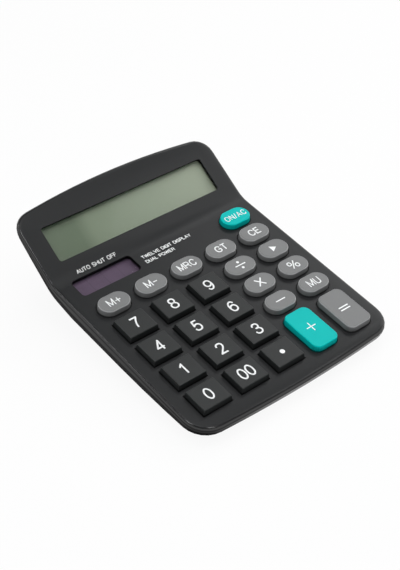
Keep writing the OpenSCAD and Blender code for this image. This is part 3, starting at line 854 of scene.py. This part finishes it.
def on_deck(across, along):
    """Sets a printed point on the bent deck, across and along from the given start."""
    turned = math.radians(DISPLAY_TILT)
    start = CREASE - CREASE_R * math.tan(turned / 2)
    end = start + CREASE_R * turned

    def place(point):
        x, t, h = point.x / MM + across, point.y / MM + along, point.z / MM
        if t <= start:
            return KEYPAD @ (Vector((x, t, h)) * MM)
        turn = min(t - start, end - start) / CREASE_R
        past = max(t - end, 0)
        y = start + CREASE_R * math.sin(turn) + past * math.cos(turn) - h * math.sin(turn)
        z = CREASE_R * (1 - math.cos(turn)) + past * math.sin(turn) + h * math.cos(turn)
        return KEYPAD @ (Vector((x, y, z)) * MM)

    return place


for key, legend in SQUARE_KEYS.items():
    print_legend(key, legend, *DIGIT_SIZE, DIGIT_GAP)
for key, legend in (OVAL_KEYS | TALL_KEYS).items():
    print_legend(key, legend, *LEGEND_SIZES.get(legend, LEGEND_SIZE), LEGEND_GAP)
printed("caption_switch_off", "AUTO SHUT OFF", 2.3, 0.34, "casing", on_deck(-33.0, 95.0))
side_captions = {
    "caption_digits": ("TWELVE DIGIT DISPLAY", 86.3),
    "caption_supply": ("DUAL POWER", 82.8),
}
for name, (words, along) in side_captions.items():
    printed(name, words, 2.2, 0.4, "casing", on_deck(-12.4, along), centred=False)


# ---- floor, light and camera ----

FLOOR_COLOUR = (0.85, 0.85, 0.85)
FLOOR_HALF = 3  # metres
FLOOR_GAP = 0.05  # how far the floor lies under the feet, in millimetres
FLOOR_GLOW = 0.92  # share of plain white in what the eye sees of the floor
SKY_COLOUR = (0.95, 0.97, 1.0)
SKY_STRENGTH = 0.22
BACKDROP_ENDS = (0.55, 0.3)  # upward part of a direction where the backdrop is gone, and whole
AIM = (0, 0, 0.02)

# Place, size and power of each lamp, in metres and watts.
LAMPS = {
    "top_softbox": ((0.0, 0.05, 1.0), (0.9, 0.8), 4.5),
    "right_softbox": ((0.95, 0.1, 0.62), (0.6, 0.5), 3.0),
    "front_right_softbox": ((0.66, -0.3, 0.95), (0.36, 0.28), 1.4),
    "back_right_softbox": ((0.72, 0.46, 0.88), (0.4, 0.32), 1.4),
    "front_softbox": ((-0.06, -0.5, 0.66), (0.22, 0.2), 0.9),
    "left_softbox": ((-0.55, 0.035, 0.66), (0.22, 0.2), 0.75),
    "back_left_strip": ((-0.62, 0.52, 0.62), (0.5, 0.04), 0.6),
}


def floor_finish():
    """A pale floor that the camera and polished faces see as nearly plain white."""
    finish = Finish("floor_white", FLOOR_COLOUR, 0.9, Specular_IOR_Level=0.1)
    glow = finish.add("ShaderNodeEmission", inputs={"Color": (1, 1, 1), "Strength": 1.0})
    rays = finish.outputs("ShaderNodeLightPath")
    seen = rays["Is Camera Ray"].greater(rays["Is Glossy Ray"]).greater(rays["Is Transmission Ray"])
    mixed = finish.mix_shaders(seen * FLOOR_GLOW, Wire(finish, finish.shader.outputs[0]), glow)
    finish.put(finish.tree.nodes["Material Output"], "Surface", mixed)
    return finish.material


def lay_floor():
    shape = bmesh.new()
    bmesh.ops.create_grid(shape, x_segments=1, y_segments=1, size=FLOOR_HALF)
    floor = bpy.data.objects.new("floor", mesh_of(shape, "floor"))
    floor.location.z = -FLOOR_GAP * MM
    bpy.context.scene.collection.objects.link(floor)
    paint(floor, floor_finish())


def set_world():
    """White for the camera, and for polished faces a white backdrop under a dim ceiling."""
    world = bpy.data.worlds.new("studio")
    bpy.context.scene.world = world
    world.use_nodes = True
    studio = Nodes(world.node_tree)
    rays = studio.outputs("ShaderNodeLightPath")
    towards = studio.add("ShaderNodeTexCoord", out="Generated")
    backdrop = studio.outputs("ShaderNodeSeparateXYZ", {0: towards})["Z"].ramp(*BACKDROP_ENDS)
    seen = rays["Is Camera Ray"].greater(rays["Is Transmission Ray"])
    seen = seen.greater(rays["Is Glossy Ray"] * backdrop)
    white = studio.add("ShaderNodeBackground", inputs={"Color": (1, 1, 1), "Strength": 1.0})
    dim = studio.tree.nodes["Background"]
    studio.put(dim, "Color", SKY_COLOUR)
    studio.put(dim, "Strength", SKY_STRENGTH)
    mixed = studio.mix_shaders(seen, Wire(studio, dim.outputs[0]), white)
    studio.put(studio.tree.nodes["World Output"], "Surface", mixed)


def hang_lamp(name, place, size, power):
    lamp = bpy.data.lights.new(name, "AREA")
    lamp.shape = "RECTANGLE"
    lamp.size, lamp.size_y = size
    lamp.energy = power
    stand = bpy.data.objects.new(name, lamp)
    stand.location = place
    stand.rotation_mode = "QUATERNION"
    stand.rotation_quaternion = (Vector(AIM) - Vector(place)).to_track_quat("-Z", "Y")
    bpy.context.scene.collection.objects.link(stand)


def set_camera():
    camera = bpy.data.cameras.new("camera")
    camera.lens = 75.44
    camera.sensor_width = 36
    camera.clip_start = 0.01
    stand = bpy.data.objects.new("camera", camera)
    stand.location = (-0.28416, -0.3416, 0.3659)
    stand.rotation_euler = (math.radians(51.95), 0, math.radians(-39.71))
    bpy.context.scene.collection.objects.link(stand)
    bpy.context.scene.camera = stand


lay_floor()
set_world()
for name, (place, size, power) in LAMPS.items():
    hang_lamp(name, place, size, power)
set_camera()
bpy.context.scene.view_settings.view_transform = "Standard"
